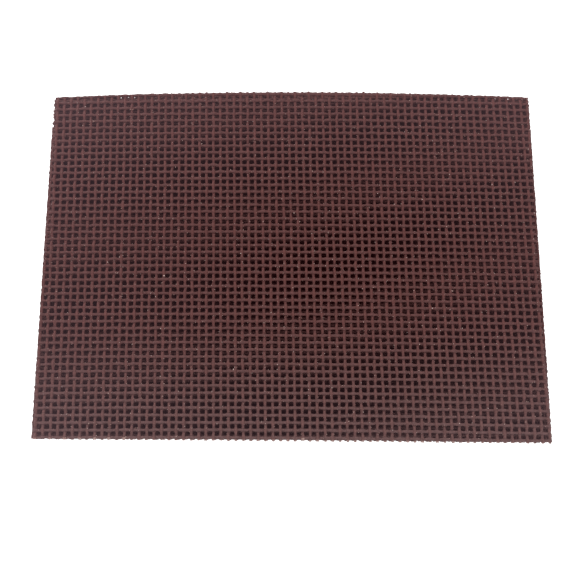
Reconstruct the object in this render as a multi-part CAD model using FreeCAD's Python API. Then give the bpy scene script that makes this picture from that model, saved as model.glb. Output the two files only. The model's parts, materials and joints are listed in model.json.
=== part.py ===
import FreeCAD, Part
import math
import os

# A pack of loose abrasive mesh sheets, stacked one on another. Each sheet is an open
# square weave: warp strands run across its short side, weft strands lie on them along its
# long side, and a gritty resin coat bonds the two where they cross. The sheets are cut
# from the roll a little off the grain and lie a little out of register with each other.
# Millimetres. +X is the long side, +Y the far edge, +Z up, and the origin is at the bottom
# centre of the pack.

sheet_count = 10
sheet_length = 141.8  # the top sheet's
sheet_width = 101.8  # its mean, as the far edge is bowed
far_bow = 1.65  # how far the far edge's middle is out past its corners
end_skew = 0.45  # how far the far corners lie to the left of square
near_skew = 0.6  # how far the near edge's right end lies nearer than its left end
warp_spaces = 69.53  # in the long side
weft_spaces = 50.68  # in the short side
strand_share = 0.37  # of the warp pitch, taken up by a coated strand
strand_height = 0.66
crossing_overlap = 0.12  # how far the strands are pressed into each other and bonded
air_gap = 0.10  # between a sheet's top and the next sheet's underside

warp_pitch = sheet_length / warp_spaces
weft_pitch = sheet_width / weft_spaces
strand_width = strand_share * warp_pitch
strand_bevel = 0.22 * strand_width
sheet_height = 2 * strand_height - crossing_overlap
sheet_step = sheet_height + air_gap

# How the top sheet lies on the grain. The other sheets wander from this.
warp_lean_deg = 1.37
weft_lean_deg = -0.13
first_warp = -0.206  # spaces from the left edge, halfway up
first_weft = 0.477  # spaces from the near edge, halfway along

# How far a lower sheet wanders from the top one, at most.
lean_spread_deg = 0.76
weft_pitch_spread = 0.045  # of the pitch
warp_pitch_spread = 0.006
phase_spread = 0.45  # of a space
slip = 0.30  # out of register, each way
turn_spread_deg = 0.12

# How far the edges of the lower sheets reach past the top sheet's, at most. The pile was
# jogged away from the near edge, and its guillotine cut slopes.
end_excess = 2.2
far_excess = 2.4
near_excess = -0.7

overrun = 6.0  # strands are drawn this much too long, and then cut with the sheet
least_share = 0.10  # a strand that the cut leaves less of than this has fallen off


def wander(number, step):
    """From -1 to 1, different for each sheet below the top one, where it is 0."""
    return math.sin(step * (sheet_count - number))


def cut_outline(number):
    """A sheet's outline as a tall block, to cut its strands with."""
    reach = 1 - 0.75 ** (sheet_count - number)
    end = sheet_length / 2 + end_excess * reach
    near = -sheet_width / 2 - near_excess * reach
    far = sheet_width / 2 + far_excess * reach
    far_corner, far_middle = far - far_bow * 2 / 3, far + far_bow / 3
    near_left, near_right, far_right, middle, far_left = [
        FreeCAD.Vector(x, y, -sheet_height)
        for x, y in (
            (-end, near + near_skew / 2),
            (end, near - near_skew / 2),
            (end - end_skew, far_corner),
            (-end_skew, far_middle),
            (-end - end_skew, far_corner),
        )
    ]
    edges = [
        Part.LineSegment(far_left, near_left).toShape(),
        Part.LineSegment(near_left, near_right).toShape(),
        Part.LineSegment(near_right, far_right).toShape(),
        Part.Arc(far_right, middle, far_left).toShape(),
    ]
    return Part.Face(Part.Wire(edges)).extrude(FreeCAD.Vector(0, 0, 3 * sheet_height))


def bar(length):
    """A straight strand of eight-sided section along +X, centred on the origin."""
    half, high, bevel = strand_width / 2, strand_height / 2, strand_bevel
    corners = [
        (half, -high + bevel),
        (half, high - bevel),
        (half - bevel, high),
        (-half + bevel, high),
        (-half, high - bevel),
        (-half, -high + bevel),
        (-half + bevel, -high),
        (half - bevel, -high),
    ]
    loop = [FreeCAD.Vector(-length / 2, y, z) for y, z in corners + corners[:1]]
    section = Part.Face(Part.makePolygon(loop))
    return section.extrude(FreeCAD.Vector(length, 0, 0))


def cut_strand(x, y, z, angle_deg, length, blank):
    """The part of one strand that the sheet's cut outline keeps, or None."""
    strand = bar(length + 2 * overrun)
    place = FreeCAD.Placement(
        FreeCAD.Vector(x, y, z), FreeCAD.Rotation(FreeCAD.Vector(0, 0, 1), angle_deg)
    )
    strand.Placement = place
    kept = strand.common(blank).Solids
    full = strand.Volume * length / (length + 2 * overrun)
    if len(kept) != 1 or kept[0].Volume < least_share * full:
        return None
    return kept[0]


def warp_strands(number, blank, z):
    pitch = warp_pitch * (1 + warp_pitch_spread * wander(number, 2.2))
    lean = warp_lean_deg + lean_spread_deg * wander(number, 2.9) / 2
    start = -sheet_length / 2 + (first_warp + phase_spread * wander(number, 3.7)) * warp_pitch
    count = math.ceil(sheet_length / pitch) + 4
    for k in range(-2, count):
        yield cut_strand(start + k * pitch, 0, z, 90 + lean, sheet_width, blank)


def weft_strands(number, blank, z):
    pitch = weft_pitch * (1 - weft_pitch_spread * wander(number, 1.4))
    lean = weft_lean_deg + lean_spread_deg * wander(number, 1.7)
    start = -sheet_width / 2 + (first_weft + phase_spread * wander(number, 3.02)) * weft_pitch
    count = math.ceil(sheet_width / pitch) + 4
    for k in range(-2, count):
        yield cut_strand(0, start + k * pitch, z, lean, sheet_length, blank)


def placed(strands, number):
    """One node: a sheet's strands of one direction, where the sheet lies in the pack."""
    group = Part.makeCompound([s for s in strands if s is not None])
    spot = FreeCAD.Vector(
        slip * wander(number, 2.6), slip * wander(number, 1.9), sheet_step * (number - 1)
    )
    turn = turn_spread_deg * wander(number, 3.3)
    group.Placement = FreeCAD.Placement(
        spot, FreeCAD.Rotation(FreeCAD.Vector(0, 0, 1), turn)
    )
    return group


def sheet(number):
    blank = cut_outline(number)
    warp_z = strand_height / 2
    weft_z = sheet_height - strand_height / 2
    name = f"sheet_{number:02d}"
    return {
        f"{name}_warp_strands": placed(warp_strands(number, blank, warp_z), number),
        f"{name}_weft_strands": placed(weft_strands(number, blank, weft_z), number),
    }


nodes = {}
for number in range(1, sheet_count + 1):
    nodes.update(sheet(number))

# The origin goes to the bottom centre of the whole pack's box.
box = Part.makeCompound(list(nodes.values())).BoundBox
centre = FreeCAD.Vector(-box.Center.x, -box.Center.y, 0)
os.makedirs("parts", exist_ok=True)
for name, group in nodes.items():
    group.translate(centre)
    group.exportStep(f"parts/{name}.step")
    print(name, len(group.Solids), round(group.Volume, 1))
print("pack", box.XLength, box.YLength, box.ZLength, "moved by", centre)
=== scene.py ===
import json
import math

import bmesh
import bpy
import numpy as np
from mathutils import Euler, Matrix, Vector

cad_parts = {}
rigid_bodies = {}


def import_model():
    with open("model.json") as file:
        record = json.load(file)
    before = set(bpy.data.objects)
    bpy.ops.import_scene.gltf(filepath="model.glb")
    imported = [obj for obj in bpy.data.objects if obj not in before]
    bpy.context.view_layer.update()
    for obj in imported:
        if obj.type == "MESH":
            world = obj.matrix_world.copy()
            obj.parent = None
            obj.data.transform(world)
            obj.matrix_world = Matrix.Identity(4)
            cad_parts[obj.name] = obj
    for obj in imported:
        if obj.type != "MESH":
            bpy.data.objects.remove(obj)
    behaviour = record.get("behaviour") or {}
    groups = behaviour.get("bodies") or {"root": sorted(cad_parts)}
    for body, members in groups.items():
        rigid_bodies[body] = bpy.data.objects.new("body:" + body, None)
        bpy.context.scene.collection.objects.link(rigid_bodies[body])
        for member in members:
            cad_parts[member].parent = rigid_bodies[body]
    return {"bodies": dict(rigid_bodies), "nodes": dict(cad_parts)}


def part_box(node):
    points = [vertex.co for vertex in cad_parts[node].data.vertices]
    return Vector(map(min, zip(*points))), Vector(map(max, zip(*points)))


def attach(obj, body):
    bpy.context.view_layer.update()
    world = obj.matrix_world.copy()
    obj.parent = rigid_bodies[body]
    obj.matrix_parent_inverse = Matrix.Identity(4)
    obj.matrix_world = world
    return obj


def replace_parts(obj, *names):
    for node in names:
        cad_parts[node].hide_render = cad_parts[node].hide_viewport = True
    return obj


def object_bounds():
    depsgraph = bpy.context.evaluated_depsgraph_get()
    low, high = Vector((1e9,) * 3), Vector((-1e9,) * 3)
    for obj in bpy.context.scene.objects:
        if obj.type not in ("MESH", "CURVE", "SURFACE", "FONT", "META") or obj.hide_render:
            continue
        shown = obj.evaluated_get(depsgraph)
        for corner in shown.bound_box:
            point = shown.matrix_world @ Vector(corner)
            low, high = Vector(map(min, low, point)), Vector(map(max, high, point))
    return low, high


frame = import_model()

cad_low, cad_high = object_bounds()

# A pack of loose mesh sheets. Each CAD sheet is a node of straight warp strands and a node
# of straight weft strands. Here each strand becomes a woven, gritty, coated one along the
# same line, swollen where it is bonded to the strands it crosses. Lengths are in metres.

MM = 0.001
BODIES = sorted(frame["bodies"])
TOP = BODIES[-1]

# A strand and its coat.
SLIM = 0.93  # a strand's width away from the crossings, as a share of the CAD's
FILLET_REACH = 0.27  # of a space: how far from a crossing the coat's fillet reaches
FILLET = 0.44  # how much wider a strand is at a crossing, as a share of its half width
WEAVE = 0.17 * MM  # a strand's rise and fall over the ones it crosses
HEIGHT_GAP = 0.04 * MM  # warp and weft centres lie this far from the sheet's middle
THICK = 0.37 * MM  # half a strand's height
FLATTER = 0.06  # how much less high it is at a crossing, as a share
ROUNDNESS = 0.8  # of a section: 1 is an ellipse, and less is a rounded square
WANDER = 0.045 * MM  # to the side
WAVINESS = 0.02 * MM  # up and down
PLUMPNESS = 0.05  # slow changes in thickness, as a share
WANDER_RUN, WAVINESS_RUN, PLUMPNESS_RUN = 3.0, 4.0, 5.0  # stations between such changes
GRIT = 0.10  # roughness of the section, as a share

# Grains of abrasive on it.
GRAIN = 0.085 * MM
GRAIN_OUT = 0.35  # how far a grain's middle stands out of the coat, as a share of its size
GRAIN_SPREAD = 0.35  # of their sizes, as the standard deviation of the logarithm
GRAIN_UNEVEN = 0.28  # how much a grain's corners differ in distance from its middle
GRAIN_SKEW = 0.18  # and how far each is off to the side, as shares of its size
GRAIN_FACING = -0.1  # they sit where the coat's normal points up by more than this

# The ends and edges that the knife leaves.
CUT_FRAY = 0.10 * MM  # how uneven strand ends are
END_IN = 0.3 * CUT_FRAY  # how far in from the cut edge they lie
RAGGED = 0.05 * MM  # how uneven the points round one end are
CUT_ROUGH = 0.03 * MM
END_BULGE = 0.12  # of the last stretch's length
EDGE_IN = 0.5  # of a strand's half width: how far in from a cut edge its middle stays
EDGE_OUT = {  # a strand that leaves the sheet by less than this is kept, along the cut edge
    True: 0.2 * MM,
    False: 1.1 * MM,
}
EDGE_SPREAD = {True: 0.0, False: 0.45}  # how much wider the knife leaves a strand there
EDGE_BAND = 0.55 * MM  # and how far from the edge that reaches
NEAR_IN = 0.52 * MM  # at the near edge the lower sheets' strands stay this much further in
NEAR_OUT = 0.05 * MM  # and the top sheet's strand ends reach further out
TOP_IN = 0.20 * MM  # its other strand ends stay this far in
STUBS = 12 * MM  # but not those of the left edge this close to the far edge

# How the sheets are out of true.
TOP_BOW = 0.45 * MM  # how far the top sheet's weft strands are bowed, in the plane
OTHER_BOW = 0.25 * MM  # at most, either way
TOP_LIFT = 1.26 * MM  # how far the middle of the top sheet's far edge stands up

# For the top sheet and for the others: True is the top one.
DETAIL = {True: (4, 8), False: (3, 6)}  # stations for each space, sides of a section
GRAINS = {True: 12000, False: 2400}

# How strands are read from the CAD, and where their stations are.
CORNERS = 8  # of a CAD strand's section
OUTER = 3  # strands at each side that may be sliced lengthwise by the cut
END_CLEAR = 0.1  # of a space: no other station is this close to a strand's end


# ---------------------------------------------------------------- strands from the CAD


def islands(node):
    """The points of each separate strand of a CAD node."""
    bm = bmesh.new()
    bm.from_mesh(frame["nodes"][node].data)
    bmesh.ops.remove_doubles(bm, verts=bm.verts, dist=1e-6)
    left, found = set(bm.verts), []
    while left:
        group, edge = set(), [left.pop()]
        while edge:
            v = edge.pop()
            group.add(v)
            for e in v.link_edges:
                w = e.other_vert(v)
                if w in left:
                    left.discard(w)
                    edge.append(w)
        found.append(np.array([v.co for v in group]))
    bm.free()
    return found


def extents(groups, direction):
    """Each group's lowest and highest place along a direction in the plane."""
    places = [g[:, :2] @ direction for g in groups]
    return np.array([[p.min(), p.max()] for p in places])


class Lines:
    """A node's strands: point = along * t + across * s, with one s and two ends for each."""

    def __init__(self, node, axis):
        groups = islands(node)
        rough = np.array([1.0, 0.0]) if axis == "x" else np.array([0.0, 1.0])
        slopes = []
        for g in groups:
            t = g[:, :2] @ rough
            ranked = np.argsort(t)
            first, last = g[ranked[:CORNERS], :2].mean(0), g[ranked[-CORNERS:], :2].mean(0)
            slopes.append((last - first) / np.linalg.norm(last - first))
        self.along = np.median(slopes, axis=0)
        self.along /= np.linalg.norm(self.along)
        turn = 1.0 if axis == "x" else -1.0  # so that strands are numbered towards +X or +Y
        self.across = turn * np.array([-self.along[1], self.along[0]])
        self.low = min(g[:, 2].min() for g in groups)
        self.high = max(g[:, 2].max() for g in groups)
        spread = extents(groups, self.across)
        ends = extents(groups, self.along)
        order = np.argsort(spread.mean(1))
        spread, self.ends = spread[order], ends[order]
        n = np.arange(len(spread))
        whole = slice(OUTER, len(spread) - OUTER)
        self.pitch, start = np.polyfit(n[whole], spread[whole].mean(1), 1)
        self.s = start + self.pitch * n
        self.half_width = float(np.median(spread[whole, 1] - spread[whole, 0])) / 2
        self.start_points = self.along * self.ends[whole, :1] + self.across * self.s[whole, None]
        self.end_points = self.along * self.ends[whole, 1:] + self.across * self.s[whole, None]

    def crossings(self, other):
        """Where each strand crosses each of the other node's strands, along this one."""
        k = other.across @ self.along
        return (other.s[None] - (self.s * (other.across @ self.across))[:, None]) / k


# ---------------------------------------------------------------- how a sheet is out of true


class Shape:
    """A sheet's cut outline, and how the real sheet departs from a flat one."""

    def __init__(self, warp, weft, body, rng):
        self.near = np.polyfit(warp.start_points[:, 0], warp.start_points[:, 1], 1)
        self.far = np.polyfit(warp.end_points[:, 0], warp.end_points[:, 1], 2)
        self.left = np.polyfit(weft.start_points[:, 1], weft.start_points[:, 0], 1)
        self.right = np.polyfit(weft.end_points[:, 1], weft.end_points[:, 0], 1)
        self.x0, self.x1 = weft.start_points[:, 0].min(), weft.end_points[:, 0].max()
        self.y0, self.y1 = warp.start_points[:, 1].min(), warp.end_points[:, 1].max()
        self.top = body == TOP
        self.bow = TOP_BOW if self.top else rng.uniform(-OTHER_BOW, OTHER_BOW)
        self.lift = TOP_LIFT if self.top else 0.0

    def uv(self, x, y):
        """From -1 to 1 across the sheet, each way."""
        u = (2 * x - self.x0 - self.x1) / (self.x1 - self.x0)
        v = (2 * y - self.y0 - self.y1) / (self.y1 - self.y0)
        return np.clip(u, -1, 1), np.clip(v, -1, 1)

    def ends(self, lines, i, warp):
        """Where a strand's line meets the outline, before the sheet is bowed."""
        found = []
        for side in (self.near, self.far) if warp else (self.left, self.right):
            t = np.polyval(side, 0.0)
            for _ in range(3):
                p = lines.along * t + lines.across * lines.s[i]
                u, _ = self.uv(*p)
                if warp:
                    t += np.polyval(side, p[0]) + self.bow * u * u - p[1]
                else:
                    t += np.polyval(side, p[1]) - p[0]
            found.append(t)
        return found

    def sides(self, p, warp):
        """Where the two cut edges beside a strand are, at each of its points."""
        if warp:
            return np.polyval(self.left, p[:, 1]), np.polyval(self.right, p[:, 1])
        return np.polyval(self.near, p[:, 0]), np.polyval(self.far, p[:, 0])

    def edged(self, rings, half_width, warp):
        """Which rings are in the outline, or just out of it. Those out of it, or too near to
        its edge, are moved in, and widened on the lower sheets."""
        axis = 0 if warp else 1
        middle = rings.mean(1)
        low, high = self.sides(middle, warp)
        if not (warp or self.top):
            low = low + NEAR_IN
        at = middle[:, axis]
        inside, outside = EDGE_IN * half_width, EDGE_OUT[self.top]
        keep = (at > low - outside) & (at < high + outside)
        moved = np.clip(at, low + inside, high - inside)
        apart = np.minimum(moved - low, high - moved)
        wide = 1 + EDGE_SPREAD[self.top] * np.exp(-((apart / EDGE_BAND) ** 2))
        rings[..., axis] = moved[:, None] + (rings[..., axis] - at[:, None]) * wide[:, None]
        return keep

    def bowed(self, p):
        """The weave's bow, in the plane."""
        u, _ = self.uv(p[..., 0], 0.0)
        p[..., 1] -= self.bow * u * u
        return p

    def cut(self, p, fray):
        """Nothing reaches past the cut outline, so strands that leave it are sliced."""
        for axis, warp in ((0, True), (1, False)):
            low, high = self.sides(p, warp)
            p[:, axis] = np.clip(p[:, axis], low + fray, high + fray)
        return p

    def lifted(self, p):
        """The middle of the far edge stands up a little."""
        u, v = self.uv(p[:, 0], p[:, 1])
        p[:, 2] += self.lift * (1 - u * u) * np.clip(v, 0, 1) ** 2
        return p


# ---------------------------------------------------------------- strand geometry


def smooth_noise(rng, count, spacing):
    """Noise of size 1 that changes slowly, over `spacing` steps."""
    knots = rng.normal(0, 1, int(count / spacing) + 4)
    return np.interp(np.arange(count) / spacing, np.arange(len(knots)), knots)


def stations(start, end, crossings, per_space):
    """Places along a strand, several for each space and always one at a crossing, with the
    distance of each from its nearest crossing and that crossing's number."""
    pitch = float(np.median(np.diff(crossings)))
    low = int(math.floor((start - crossings[0]) / pitch)) - 1
    high = int(math.ceil((end - crossings[0]) / pitch)) + 1
    steps = np.arange(low * per_space, high * per_space + 1) / per_space
    t = crossings[0] + steps * pitch
    keep = (t > start + END_CLEAR * pitch) & (t < end - END_CLEAR * pitch)
    t = np.concatenate([[start], t[keep], [end]])
    place = (t - crossings[0]) / pitch
    nearest = np.round(place)
    return t, (place - nearest), nearest.astype(int)


def section(sides):
    """A strand's section, between an ellipse and a rounded square."""
    a = (np.arange(sides) + 0.5) * 2 * math.pi / sides
    c, s = np.cos(a), np.sin(a)
    return np.sign(c) * np.abs(c) ** ROUNDNESS, np.sign(s) * np.abs(s) ** ROUNDNESS


class Builder:
    """Collects tubes into one mesh."""

    def __init__(self):
        self.points, self.quads, self.flaked, self.caps, self.count = [], [], [], [], 0

    def tube(self, rings, bare=0):
        """rings is stations x sides x 3. Both ends are closed by a fan with a raised middle.
        The coat has flaked off the first `bare` stretches."""
        n, m = rings.shape[:2]
        base = self.count
        i = (np.arange(n - 1) * m)[:, None] + base
        j = np.arange(m)[None]
        k = (j + 1) % m
        quads = np.stack([i + j, i + k, i + m + k, i + m + j], -1)
        self.quads.append(quads[bare:].reshape(-1, 4))
        self.flaked.append(quads[:bare].reshape(-1, 4))
        first, last = rings[0].mean(0), rings[-1].mean(0)
        first_tip = first + (first - rings[1].mean(0)) * END_BULGE
        last_tip = last + (last - rings[-2].mean(0)) * END_BULGE
        self.points += [rings.reshape(-1, 3), first_tip[None], last_tip[None]]
        a, b = base + n * m, base + n * m + 1
        j, k = j[0], k[0]
        self.caps.append(np.stack([np.full(m, a), base + k, base + j], -1))
        end = base + (n - 1) * m
        self.caps.append(np.stack([np.full(m, b), end + j, end + k], -1))
        self.count += n * m + 2

    def mesh(self, name, points):
        quads, flaked, caps = (np.concatenate(f) for f in (self.quads, self.flaked, self.caps))
        return make_mesh(name, points, [(quads, 0), (flaked, 1), (caps, 1)])


def make_mesh(name, points, groups):
    """A smooth-shaded mesh from arrays: groups is a list of (faces, material number)."""
    mesh = bpy.data.meshes.new(name)
    mesh.vertices.add(len(points))
    mesh.vertices.foreach_set("co", points.astype(np.float32).ravel())
    corners = np.concatenate([f.ravel() for f, _ in groups])
    sizes = np.concatenate([np.full(len(f), f.shape[1]) for f, _ in groups])
    slots = np.concatenate([np.full(len(f), slot) for f, slot in groups])
    mesh.loops.add(len(corners))
    mesh.loops.foreach_set("vertex_index", corners.astype(np.int32))
    mesh.polygons.add(len(sizes))
    starts = np.concatenate([[0], np.cumsum(sizes)[:-1]])
    mesh.polygons.foreach_set("loop_start", starts.astype(np.int32))
    mesh.polygons.foreach_set("material_index", slots.astype(np.int32))
    mesh.polygons.foreach_set("use_smooth", np.ones(len(sizes), bool))
    mesh.update(calc_edges=True)
    mesh.validate()
    return mesh


def strand_rings(lines, i, t, place, nearest, middle_z, side, sides, rng):
    """One strand's rings of points, before the sheet's own shape is applied. `side` is 1 for
    the strands that lie on the others, and -1 for those."""
    n = len(t)
    wobble = WANDER * smooth_noise(rng, n, WANDER_RUN)
    centre = np.outer(t, lines.along) + np.outer(lines.s[i] + wobble, lines.across)
    sign = np.where((nearest + i) % 2, 1.0, -1.0)
    near = np.exp(-((place / FILLET_REACH) ** 2))
    z = middle_z + side * (HEIGHT_GAP + WEAVE * sign * np.cos(math.pi * place))
    z += WAVINESS * smooth_noise(rng, n, WAVINESS_RUN)
    plump = 1 + PLUMPNESS * smooth_noise(rng, n, PLUMPNESS_RUN)
    half = lines.half_width * (SLIM + FILLET * near) * plump
    thick = THICK * (1.0 - FLATTER * near) * plump
    c, s = section(sides)
    if lines.along[0] * lines.across[1] < lines.along[1] * lines.across[0]:
        c, s = c[::-1], s[::-1]
    grit = 1 + rng.normal(0, GRIT, (n, sides))
    offset = half[:, None] * c[None] * grit
    rings = np.empty((n, sides, 3))
    rings[..., :2] = centre[:, None] + offset[..., None] * lines.across
    rings[..., 2] = z[:, None] + thick[:, None] * s[None] * grit
    return rings


def runs(keep):
    """The unbroken stretches of True, as slices of two stations or more."""
    edges = np.flatnonzero(np.diff(np.concatenate([[0], keep.astype(int), [0]])))
    return [slice(a, b) for a, b in zip(edges[::2], edges[1::2]) if b - a > 1]


def weave(body, warp_lines, weft_lines, kind, shape, rng):
    """All of a sheet's strands of one kind, as one mesh."""
    warp = kind == "warp"
    lines, other = (warp_lines, weft_lines) if warp else (weft_lines, warp_lines)
    per_space, sides = DETAIL[shape.top]
    middle_z = (warp_lines.low + weft_lines.high) / 2
    side = -1.0 if warp else 1.0
    builder = Builder()
    crossings = lines.crossings(other)
    for i in range(len(lines.s)):
        start, end = shape.ends(lines, i, warp)
        start += rng.normal(0, CUT_FRAY) + END_IN
        if shape.top:
            loose = lines.s[i] > shape.y1 - STUBS
            start += -NEAR_OUT if warp or loose else TOP_IN
            end -= TOP_IN
        end += rng.normal(0, CUT_FRAY) - END_IN
        t, place, nearest = stations(start, end, crossings[i], per_space)
        rings = strand_rings(lines, i, t, place, nearest, middle_z, side, sides, rng)
        rings = shape.bowed(rings)
        for run in runs(shape.edged(rings, lines.half_width, warp)):
            stretch = rings[run]
            for end_ring in (0, -1):
                ragged = rng.normal(0, RAGGED, (sides, 1))
                stretch[end_ring, :, :2] += ragged * lines.along
            builder.tube(stretch, bare=int(shape.top and warp and run.start == 0))
    points = np.concatenate(builder.points)
    points = shape.lifted(shape.cut(points, rng.normal(0, CUT_ROUGH, len(points))))
    return builder.mesh(f"{body}_{kind}_coated", points)


# ---------------------------------------------------------------- abrasive grains


def grains(body, meshes, count, rng):
    """Sharp grains of abrasive, partly sunk in the coat."""
    spots = []
    for mesh in meshes:
        co = np.empty(len(mesh.vertices) * 3, np.float32)
        no = np.empty(len(mesh.vertices) * 3, np.float32)
        mesh.vertices.foreach_get("co", co)
        mesh.vertices.foreach_get("normal", no)
        co, no = co.reshape(-1, 3), no.reshape(-1, 3)
        pick = rng.choice(len(co), count * 3, replace=False)
        pick = pick[no[pick, 2] > GRAIN_FACING][: count // 2]
        spots.append((co[pick], no[pick]))
    at = np.concatenate([c for c, _ in spots])
    out = np.concatenate([n for _, n in spots])
    unit = np.array([(1, 0, 0), (-1, 0, 0), (0, 1, 0), (0, -1, 0), (0, 0, 1), (0, 0, -1)], float)
    faces = np.array(
        [(4, 0, 2), (4, 2, 1), (4, 1, 3), (4, 3, 0), (5, 2, 0), (5, 1, 2), (5, 3, 1), (5, 0, 3)]
    )
    n = len(at)
    size = GRAIN * np.exp(rng.normal(0, GRAIN_SPREAD, n))
    shaped = unit[None] * (1 + rng.normal(0, GRAIN_UNEVEN, (n, 6, 1)))
    shaped = shaped + rng.normal(0, GRAIN_SKEW, (n, 6, 3))
    spin, _ = np.linalg.qr(rng.normal(0, 1, (n, 3, 3)))
    spin *= np.sign(np.linalg.det(spin))[:, None, None]
    points = at[:, None] + out[:, None] * size[:, None, None] * GRAIN_OUT
    points = points + (shaped @ spin) * size[:, None, None]
    all_faces = faces[None] + (np.arange(n) * 6)[:, None, None]
    mesh = make_mesh(f"{body}_grains", points.reshape(-1, 3), [(all_faces.reshape(-1, 3), 0)])
    mesh.polygons.foreach_set("use_smooth", np.zeros(len(mesh.polygons), bool))
    return mesh


# ---------------------------------------------------------------- materials

# The painted glare glow: emission on the coat that stands in for glare, not a colour of the
# resin.
PAINTED_GLARE_FULL = 2.2  # it is strongest where x squared plus y squared is this, in half sizes


class Nodes:
    """A short way to write a material's nodes."""

    def __init__(self, name):
        self.material = bpy.data.materials.new(name)
        self.material.use_nodes = True
        self.tree = self.material.node_tree
        self.shader = self.tree.nodes["Principled BSDF"]
        self.place = self.add("ShaderNodeTexCoord").outputs["Object"]

    def add(self, kind, **settings):
        node = self.tree.nodes.new(kind)
        for key, value in settings.items():
            if key in node.inputs:
                node.inputs[key].default_value = value
            else:
                setattr(node, key, value)
        return node

    def link(self, a, b):
        self.tree.links.new(a, b)

    def noise(self, size, detail=2.0, roughness=0.5):
        node = self.add("ShaderNodeTexNoise", Scale=1 / size, Detail=detail, Roughness=roughness)
        self.link(self.place, node.inputs["Vector"])
        return node.outputs["Fac"]

    def cells(self, size):
        node = self.add("ShaderNodeTexVoronoi", Scale=1 / size)
        self.link(self.place, node.inputs["Vector"])
        return node

    def ramp(self, value, stops):
        node = self.add("ShaderNodeValToRGB")
        elements = node.color_ramp.elements
        while len(elements) < len(stops):
            elements.new(0.5)
        for element, (position, colour) in zip(elements, stops):
            element.position = position
            element.color = (*colour, 1.0)
        self.link(value, node.inputs["Fac"])
        return node.outputs["Color"]

    def mix(self, factor, a, b):
        node = self.add("ShaderNodeMix", data_type="RGBA")
        for socket, value in (("Factor", factor), ("A", a), ("B", b)):
            target = next(
                s for s in node.inputs
                if s.name == socket and s.enabled and (s.type == "RGBA" or socket == "Factor")
            )
            if hasattr(value, "is_linked"):
                self.link(value, target)
            else:
                target.default_value = (*value, 1.0) if isinstance(value, tuple) else value
        return next(s for s in node.outputs if s.enabled and s.type == "RGBA")


def grey(value):
    return (value, value, value)


def painted_glare_glow(n):
    """A painted glow (emission) that grows towards the cut edges. It is painted light standing
    in for the glare of bright surroundings, and is least a little right of and nearer than the
    middle."""
    size = cad_high - cad_low
    flat = n.add("ShaderNodeVectorMath", operation="MULTIPLY_ADD")
    n.link(n.place, flat.inputs[0])
    flat.inputs[1].default_value = (2 / size.x, 2 / size.y, 0)
    flat.inputs[2].default_value = (-0.17, 0.13, 0)
    out = n.add("ShaderNodeVectorMath", operation="DOT_PRODUCT")
    n.link(flat.outputs["Vector"], out.inputs[0])
    n.link(flat.outputs["Vector"], out.inputs[1])
    part = n.add("ShaderNodeMath", operation="MULTIPLY")
    n.link(out.outputs["Value"], part.inputs[0])
    part.inputs[1].default_value = 1 / PAINTED_GLARE_FULL
    stops = [(0.0, (0.0049, 0.0004, 0.0007)), (1.0, (0.038, 0.0257, 0.0315))]
    glow = n.ramp(part.outputs["Value"], stops)
    n.link(glow, n.shader.inputs["Emission Color"])
    n.shader.inputs["Emission Strength"].default_value = 1.0


def painted_near_sheen(n, resin):
    """The resin's colour, paler and greyer towards the near edge: a painted sheen standing in
    for the greyish highlights that light puts on the near strands.
    """
    place = n.add("ShaderNodeSeparateXYZ")
    n.link(n.place, place.inputs[0])
    half = (cad_high.y - cad_low.y) / 2
    part = n.add("ShaderNodeMapRange")
    n.link(place.outputs["Y"], part.inputs["Value"])
    part.inputs["From Min"].default_value = -0.05 * half
    part.inputs["From Max"].default_value = -half
    some = tuple(c * k for c, k in zip(resin, (1.05, 1.13, 1.14)))
    most = tuple(c * k for c, k in zip(resin, (1.20, 1.70, 1.75)))
    return n.ramp(part.outputs["Result"], [(0.0, resin), (0.37, some), (1.0, most)])


def coat_material(name, resin):
    """Phenolic resin over yarn, full of grit: mottled red-brown, with pale dusty grains, a
    painted sheen towards the near edge and a painted glow towards the cut edges.
    """
    n = Nodes(name)
    mottle = n.ramp(n.noise(0.8 * MM, 3.0, 0.6), [(0.30, grey(0.56)), (0.70, grey(1.0))])
    cells = n.cells(0.16 * MM)
    speck = n.ramp(cells.outputs["Distance"], [(0.0, grey(1.0)), (0.32, grey(0.0))])
    chosen = n.ramp(cells.outputs["Color"], [(0.80, grey(0.0)), (0.90, grey(1.0))])
    both = n.mix(speck, (0.0, 0.0, 0.0), chosen)
    # the resin's colour, with the painted sheen towards the near edge
    base = n.mix(mottle, (0.0, 0.0, 0.0), painted_near_sheen(n, resin))
    colour = n.mix(both, base, (0.24, 0.15, 0.14))
    n.link(colour, n.shader.inputs["Base Color"])
    rough = n.ramp(n.noise(0.3 * MM, 2.0), [(0.3, grey(0.52)), (0.7, grey(0.86))])
    n.link(rough, n.shader.inputs["Roughness"])
    n.shader.inputs["Specular IOR Level"].default_value = 0.16
    bump = n.add("ShaderNodeBump", Strength=0.8, Distance=0.05 * MM)
    n.link(n.noise(0.14 * MM, 3.0, 0.7), bump.inputs["Height"])
    n.link(bump.outputs["Normal"], n.shader.inputs["Normal"])
    # painted glow on the coat, standing in for glare
    painted_glare_glow(n)
    return n.material


def cut_material():
    """Sliced strand ends: pale yarn filaments inside the dark coat."""
    n = Nodes("cut_yarn")
    colour = n.ramp(
        n.noise(0.12 * MM, 2.0),
        [(0.38, (0.10, 0.045, 0.04)), (0.55, (0.30, 0.19, 0.17)), (0.7, (0.45, 0.33, 0.30))],
    )
    n.link(colour, n.shader.inputs["Base Color"])
    rough = n.ramp(n.noise(0.2 * MM), [(0.3, grey(0.6)), (0.7, grey(0.9))])
    n.link(rough, n.shader.inputs["Roughness"])
    return n.material


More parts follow.
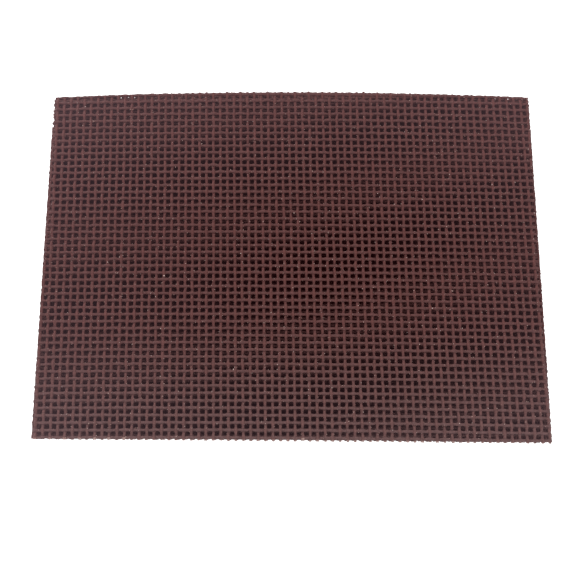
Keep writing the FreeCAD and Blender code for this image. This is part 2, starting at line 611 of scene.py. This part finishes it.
def grain_material():
    """Aluminium oxide grains, mostly brown, some pale and glassy."""
    n = Nodes("abrasive_grain")
    colour = n.ramp(
        n.noise(0.5 * MM, 1.0),
        [(0.42, (0.11, 0.05, 0.048)), (0.58, (0.24, 0.14, 0.12)), (0.73, (0.52, 0.40, 0.37))],
    )
    n.link(colour, n.shader.inputs["Base Color"])
    rough = n.ramp(n.noise(0.4 * MM, 1.0), [(0.4, grey(0.45)), (0.7, grey(0.18))])
    n.link(rough, n.shader.inputs["Roughness"])
    return n.material


# ---------------------------------------------------------------- the pack

warp_coat = coat_material("warp_coat", (0.094, 0.031, 0.0273))
weft_coat = coat_material("weft_coat", (0.087, 0.032, 0.0294))
cut_yarn = cut_material()
grain = grain_material()


def piece(mesh, materials, body):
    ob = bpy.data.objects.new(mesh.name, mesh)
    bpy.context.scene.collection.objects.link(ob)
    for m in materials:
        mesh.materials.append(m)
    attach(ob, body)
    return ob


def build_sheet(body, number):
    rng = np.random.default_rng(900 + number)
    warp_node, weft_node = f"{body}_warp_strands", f"{body}_weft_strands"
    warp, weft = Lines(warp_node, "y"), Lines(weft_node, "x")
    shape = Shape(warp, weft, body, rng)
    warp_mesh = weave(body, warp, weft, "warp", shape, rng)
    weft_mesh = weave(body, warp, weft, "weft", shape, rng)
    grain_mesh = grains(body, (warp_mesh, weft_mesh), GRAINS[shape.top], rng)
    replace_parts(piece(warp_mesh, (warp_coat, cut_yarn), body), warp_node)
    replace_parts(piece(weft_mesh, (weft_coat, cut_yarn), body), weft_node)
    piece(grain_mesh, (grain,), body)


for number, body in enumerate(BODIES):
    build_sheet(body, number)


# ---------------------------------------------------------------- floor, light and camera


def floor():
    bpy.ops.mesh.primitive_plane_add(size=4.0, location=(0, 0, -0.02 * MM))
    ob = bpy.context.object
    ob.name = "floor"
    n = Nodes("floor_paper")
    n.shader.inputs["Base Color"].default_value = (0.93, 0.93, 0.93, 1)
    n.shader.inputs["Roughness"].default_value = 0.9
    n.shader.inputs["Emission Color"].default_value = (1.0, 1.0, 1.0, 1)
    n.shader.inputs["Emission Strength"].default_value = 0.6
    ob.data.materials.append(n.material)


def area_light(name, place, size, power):
    light = bpy.data.lights.new(name, "AREA")
    light.shape, light.size, light.energy = "DISK", size, power
    ob = bpy.data.objects.new(name, light)
    bpy.context.scene.collection.objects.link(ob)
    ob.location = place
    ob.rotation_euler = (-Vector(place)).to_track_quat("-Z", "Y").to_euler()


def lights():
    """Even white surroundings, with two large soft lamps."""
    world = bpy.data.worlds.new("studio")
    bpy.context.scene.world = world
    world.use_nodes = True
    background = world.node_tree.nodes["Background"]
    background.inputs["Color"].default_value = (1.0, 1.0, 1.0, 1)
    background.inputs["Strength"].default_value = 0.92
    area_light("key", (-0.45, 0.50, 0.50), 0.5, 5.5)
    area_light("fill", (0.60, -0.30, 0.45), 0.5, 2.8)
    bpy.context.scene.view_settings.view_transform = "Standard"


def camera():
    """Almost straight above, over the near edge: close enough for the sheet to taper. It is
    placed from the middle of the top sheet."""
    data = bpy.data.cameras.new("camera")
    data.sensor_width = 36.0
    data.lens = 43.1
    data.clip_start, data.clip_end = 0.01, 10.0
    ob = bpy.data.objects.new("camera", data)
    bpy.context.scene.collection.objects.link(ob)
    low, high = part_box(f"{TOP}_warp_strands"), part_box(f"{TOP}_weft_strands")
    centre_x = (high[0][0] + high[1][0]) / 2
    centre_y = (low[0][1] + low[1][1]) / 2
    ob.location = (centre_x + 1.64 * MM, centre_y - 46.28 * MM, cad_high.z + 193.4 * MM)
    ob.rotation_euler = Euler((math.radians(10.90), math.radians(0.49), math.radians(0.23)))
    bpy.context.scene.camera = ob


floor()
lights()
camera()
